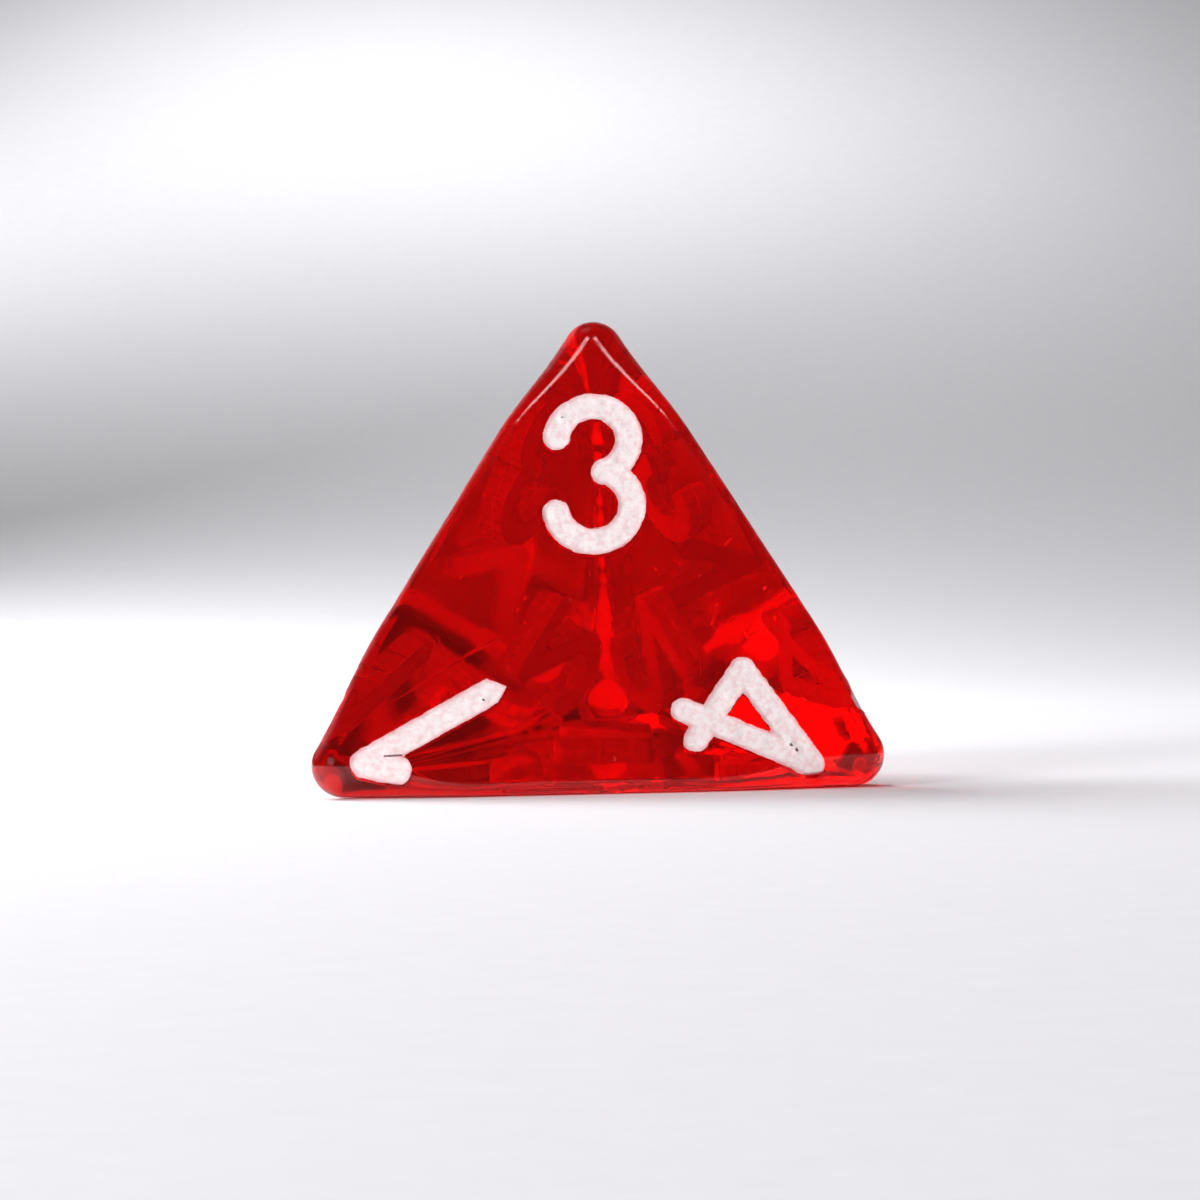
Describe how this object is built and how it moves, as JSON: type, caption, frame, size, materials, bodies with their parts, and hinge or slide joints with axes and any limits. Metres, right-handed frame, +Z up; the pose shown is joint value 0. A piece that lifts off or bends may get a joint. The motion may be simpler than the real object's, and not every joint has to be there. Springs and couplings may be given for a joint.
{
  "type": "four-sided gaming die",
  "caption": "Rounded four-sided gaming die (regular tetrahedron) in transparent red plastic, with engraved numerals filled with white paint.",
  "frame": {"origin": "centre of the bottom face, the face that the die rests on", "axes": "+Z up through the top corner, front face towards -Y, front bottom edge parallel to X"},
  "size_m": [0.0172, 0.0154, 0.0144],
  "materials": {
    "red_resin": "polished transparent red resin, tumbled, with fine handling scratches",
    "numeral_paint": "matt white paint fill, slightly uneven"
  },
  "bodies": {
    "root": {"die_body": "red_resin", "ink_front_1": "numeral_paint", "ink_front_4": "numeral_paint", "ink_front_3": "numeral_paint", "ink_west_2": "numeral_paint", "ink_west_1": "numeral_paint", "ink_west_3": "numeral_paint", "ink_east_4": "numeral_paint", "ink_east_2": "numeral_paint", "ink_east_3": "numeral_paint", "ink_bottom_1": "numeral_paint", "ink_bottom_2": "numeral_paint", "ink_bottom_4": "numeral_paint"}
  },
  "joints": []
}
